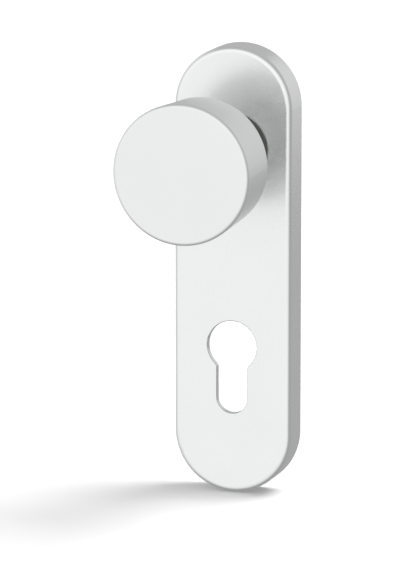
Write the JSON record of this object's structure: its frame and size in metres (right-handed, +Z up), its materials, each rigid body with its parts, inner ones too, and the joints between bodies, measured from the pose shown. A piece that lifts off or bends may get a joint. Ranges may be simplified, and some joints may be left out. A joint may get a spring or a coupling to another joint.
{
  "type": "door knob on backplate",
  "caption": "Turned cylindrical door knob on a short round-ended backplate with a euro profile cut-out, sprung to centre, in satin aluminium.",
  "frame": {"origin": "on the knob's turning axis, at the door surface that the plate lies on", "axes": "+Z up along the plate, +Y into the door along the spindle, -Y out of the door towards the user, +X to the right as the user faces the knob"},
  "size_m": [0.0498, 0.1195, 0.163],
  "materials": {
    "satin_aluminium": "fine satin, natural anodised",
    "zinc_casting": "as cast, matt grey zinc",
    "plated_steel": "bright zinc plated",
    "black_nylon": "moulded, dark",
    "bronze": "sintered, dull",
    "spring_steel": "oiled, dark",
    "hardened_steel": "blackened"
  },
  "bodies": {
    "plate": {"cover_plate": "satin_aluminium", "base_plate": "zinc_casting", "mounting_posts": "plated_steel", "neck_bearing": "black_nylon", "rear_bush": "bronze", "stop_pins": "hardened_steel", "return_spring": "spring_steel", "cassette_cover": "plated_steel", "cassette_screws": "plated_steel"},
    "knob": {"knob_shell": "satin_aluminium", "knob_back": "satin_aluminium", "knob_neck": "satin_aluminium", "clamp_screw": "hardened_steel", "lock_washer": "plated_steel", "drive_pins": "hardened_steel", "spindle": "plated_steel", "spindle_grub_screw": "hardened_steel", "driver_disc": "plated_steel", "disc_spring": "spring_steel", "thrust_washer": "plated_steel", "retaining_ring": "spring_steel"}
  },
  "joints": [
    {"name": "knob_turn", "type": "hinge", "parent": "plate", "child": "knob", "pos_m": [0, 0, 0], "axis": [0, 1, 0], "range_deg": [-45, 45], "stiffness_Nm_per_rad": 0.5, "deforming": ["return_spring"]}
  ]
}
